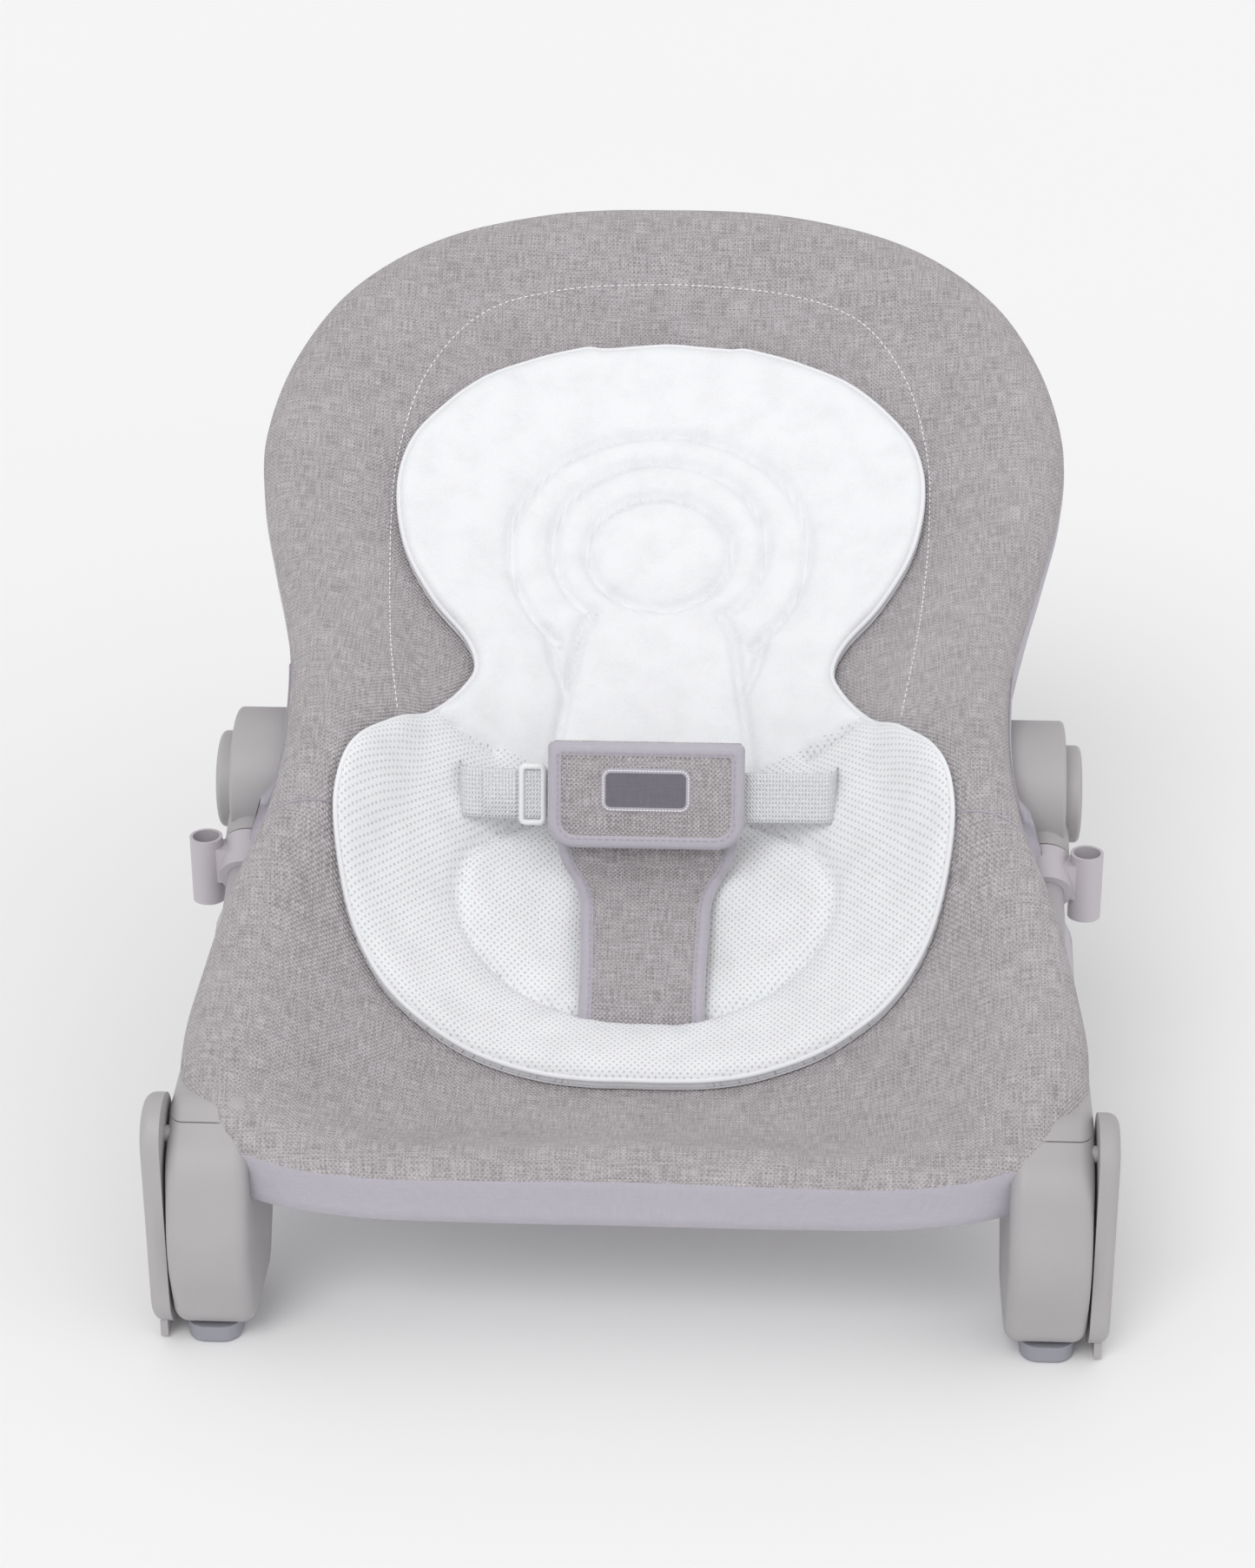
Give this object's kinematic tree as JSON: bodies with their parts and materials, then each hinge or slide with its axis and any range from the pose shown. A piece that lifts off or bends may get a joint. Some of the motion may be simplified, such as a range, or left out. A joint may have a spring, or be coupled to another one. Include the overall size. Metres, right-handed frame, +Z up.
{
  "type": "baby bouncer seat",
  "caption": "Reclining baby bouncer: padded sling on a tube frame with moulded front legs, folding rear leg, recline hubs, harness and soft insert.",
  "frame": {"origin": "on the floor under the middle of the whole seat", "axes": "+Z up, the front of the seat faces -Y, X runs across it; left is the -X side"},
  "size_m": [0.444, 0.5285, 0.3873],
  "materials": {
    "cover_fabric": "plain heather weave",
    "cushion_fabric": "soft jersey",
    "webbing": "woven tape",
    "buckle_plastic": "satin",
    "patch": "woven label",
    "steel_tube": "powder coat",
    "shell_plastic": "fine matte grain",
    "gear_plastic": "moulded",
    "fastener_steel": "zinc plated",
    "rubber": "matte"
  },
  "bodies": {
    "seat_frame": {"seat_tube": "steel_tube", "seat_padding": "cover_fabric", "seat_cushion": "cushion_fabric", "crotch_strap": "cover_fabric", "buckle_body": "buckle_plastic", "seat_hub_right": "shell_plastic", "seat_hub_left": "shell_plastic", "pivot_bolt_right": "fastener_steel", "pivot_bolt_left": "fastener_steel", "pivot_nut_right": "fastener_steel", "pivot_nut_left": "fastener_steel", "front_leg_front_right": "shell_plastic", "front_leg_front_left": "shell_plastic", "front_leg_rear_right": "shell_plastic", "front_leg_rear_left": "shell_plastic", "front_leg_cap_right": "shell_plastic", "front_leg_cap_left": "shell_plastic", "front_foot_right": "rubber", "front_foot_left": "rubber", "leg_screws_right": "fastener_steel", "leg_screws_left": "fastener_steel", "toy_bar_socket_right": "shell_plastic", "toy_bar_socket_left": "shell_plastic", "belt_tongue_right": "buckle_plastic", "belt_tongue_left": "buckle_plastic", "waist_belt_right": "webbing", "waist_belt_left": "webbing"},
    "backrest": {"back_tube": "steel_tube", "back_padding": "cover_fabric", "back_cushion": "cushion_fabric", "back_hub_right": "shell_plastic", "back_hub_left": "shell_plastic"},
    "rear_leg": {"rear_leg_tube": "steel_tube", "rear_knuckle_right": "shell_plastic", "rear_knuckle_left": "shell_plastic", "leg_pin_right": "fastener_steel", "leg_pin_left": "fastener_steel", "rear_foot_right": "rubber", "rear_foot_left": "rubber"},
    "stabiliser_right": {"stabiliser_right": "shell_plastic", "stabiliser_pin_right": "fastener_steel", "stabiliser_pad_right": "rubber"},
    "stabiliser_left": {"stabiliser_left": "shell_plastic", "stabiliser_pin_left": "fastener_steel", "stabiliser_pad_left": "rubber"},
    "recline_button_right": {"recline_button_right": "shell_plastic", "lock_gear_right": "gear_plastic", "button_spring_right": "fastener_steel"},
    "recline_button_left": {"recline_button_left": "shell_plastic", "lock_gear_left": "gear_plastic", "button_spring_left": "fastener_steel"},
    "buckle_button": {"buckle_button": "buckle_plastic", "buckle_spring": "fastener_steel"},
    "crotch_flap": {"flap_panel": "cover_fabric", "flap_patch": "patch"}
  },
  "joints": [
    {"name": "recline", "type": "hinge", "parent": "seat_frame", "child": "backrest", "pos_m": [0, -0.0323, 0.185], "axis": [1, 0, 0], "range_deg": [-15, 30]},
    {"name": "rear_leg_fold", "type": "hinge", "parent": "seat_frame", "child": "rear_leg", "pos_m": [0, -0.0023, 0.145], "axis": [1, 0, 0], "range_deg": [-125, 0]},
    {"name": "stabiliser_swing_right", "type": "hinge", "parent": "seat_frame", "child": "stabiliser_right", "pos_m": [0.21675, -0.2363, 0.105], "axis": [1, 0, 0], "range_deg": [0, 90]},
    {"name": "recline_button_push_right", "type": "slide", "parent": "seat_frame", "child": "recline_button_right", "axis": [-1, 0, 0], "range_m": [0, 0.006], "stiffness_N_per_m": 800, "springref_m": -0.002, "deforming": ["button_spring_right"]},
    {"name": "stabiliser_swing_left", "type": "hinge", "parent": "seat_frame", "child": "stabiliser_left", "pos_m": [-0.21675, -0.2363, 0.105], "axis": [1, 0, 0], "range_deg": [0, 90]},
    {"name": "recline_button_push_left", "type": "slide", "parent": "seat_frame", "child": "recline_button_left", "axis": [1, 0, 0], "range_m": [0, 0.006], "stiffness_N_per_m": 800, "springref_m": -0.002, "deforming": ["button_spring_left"]},
    {"name": "buckle_press", "type": "slide", "parent": "seat_frame", "child": "buckle_button", "axis": [0, 0.9703, -0.2419], "range_m": [0, 0.003], "stiffness_N_per_m": 600, "springref_m": -0.001, "deforming": ["buckle_spring"]},
    {"name": "flap_lift", "type": "hinge", "parent": "seat_frame", "child": "crotch_flap", "pos_m": [0, -0.05597, 0.22027], "axis": [1, 0, 0], "range_deg": [-150, 0]}
  ]
}
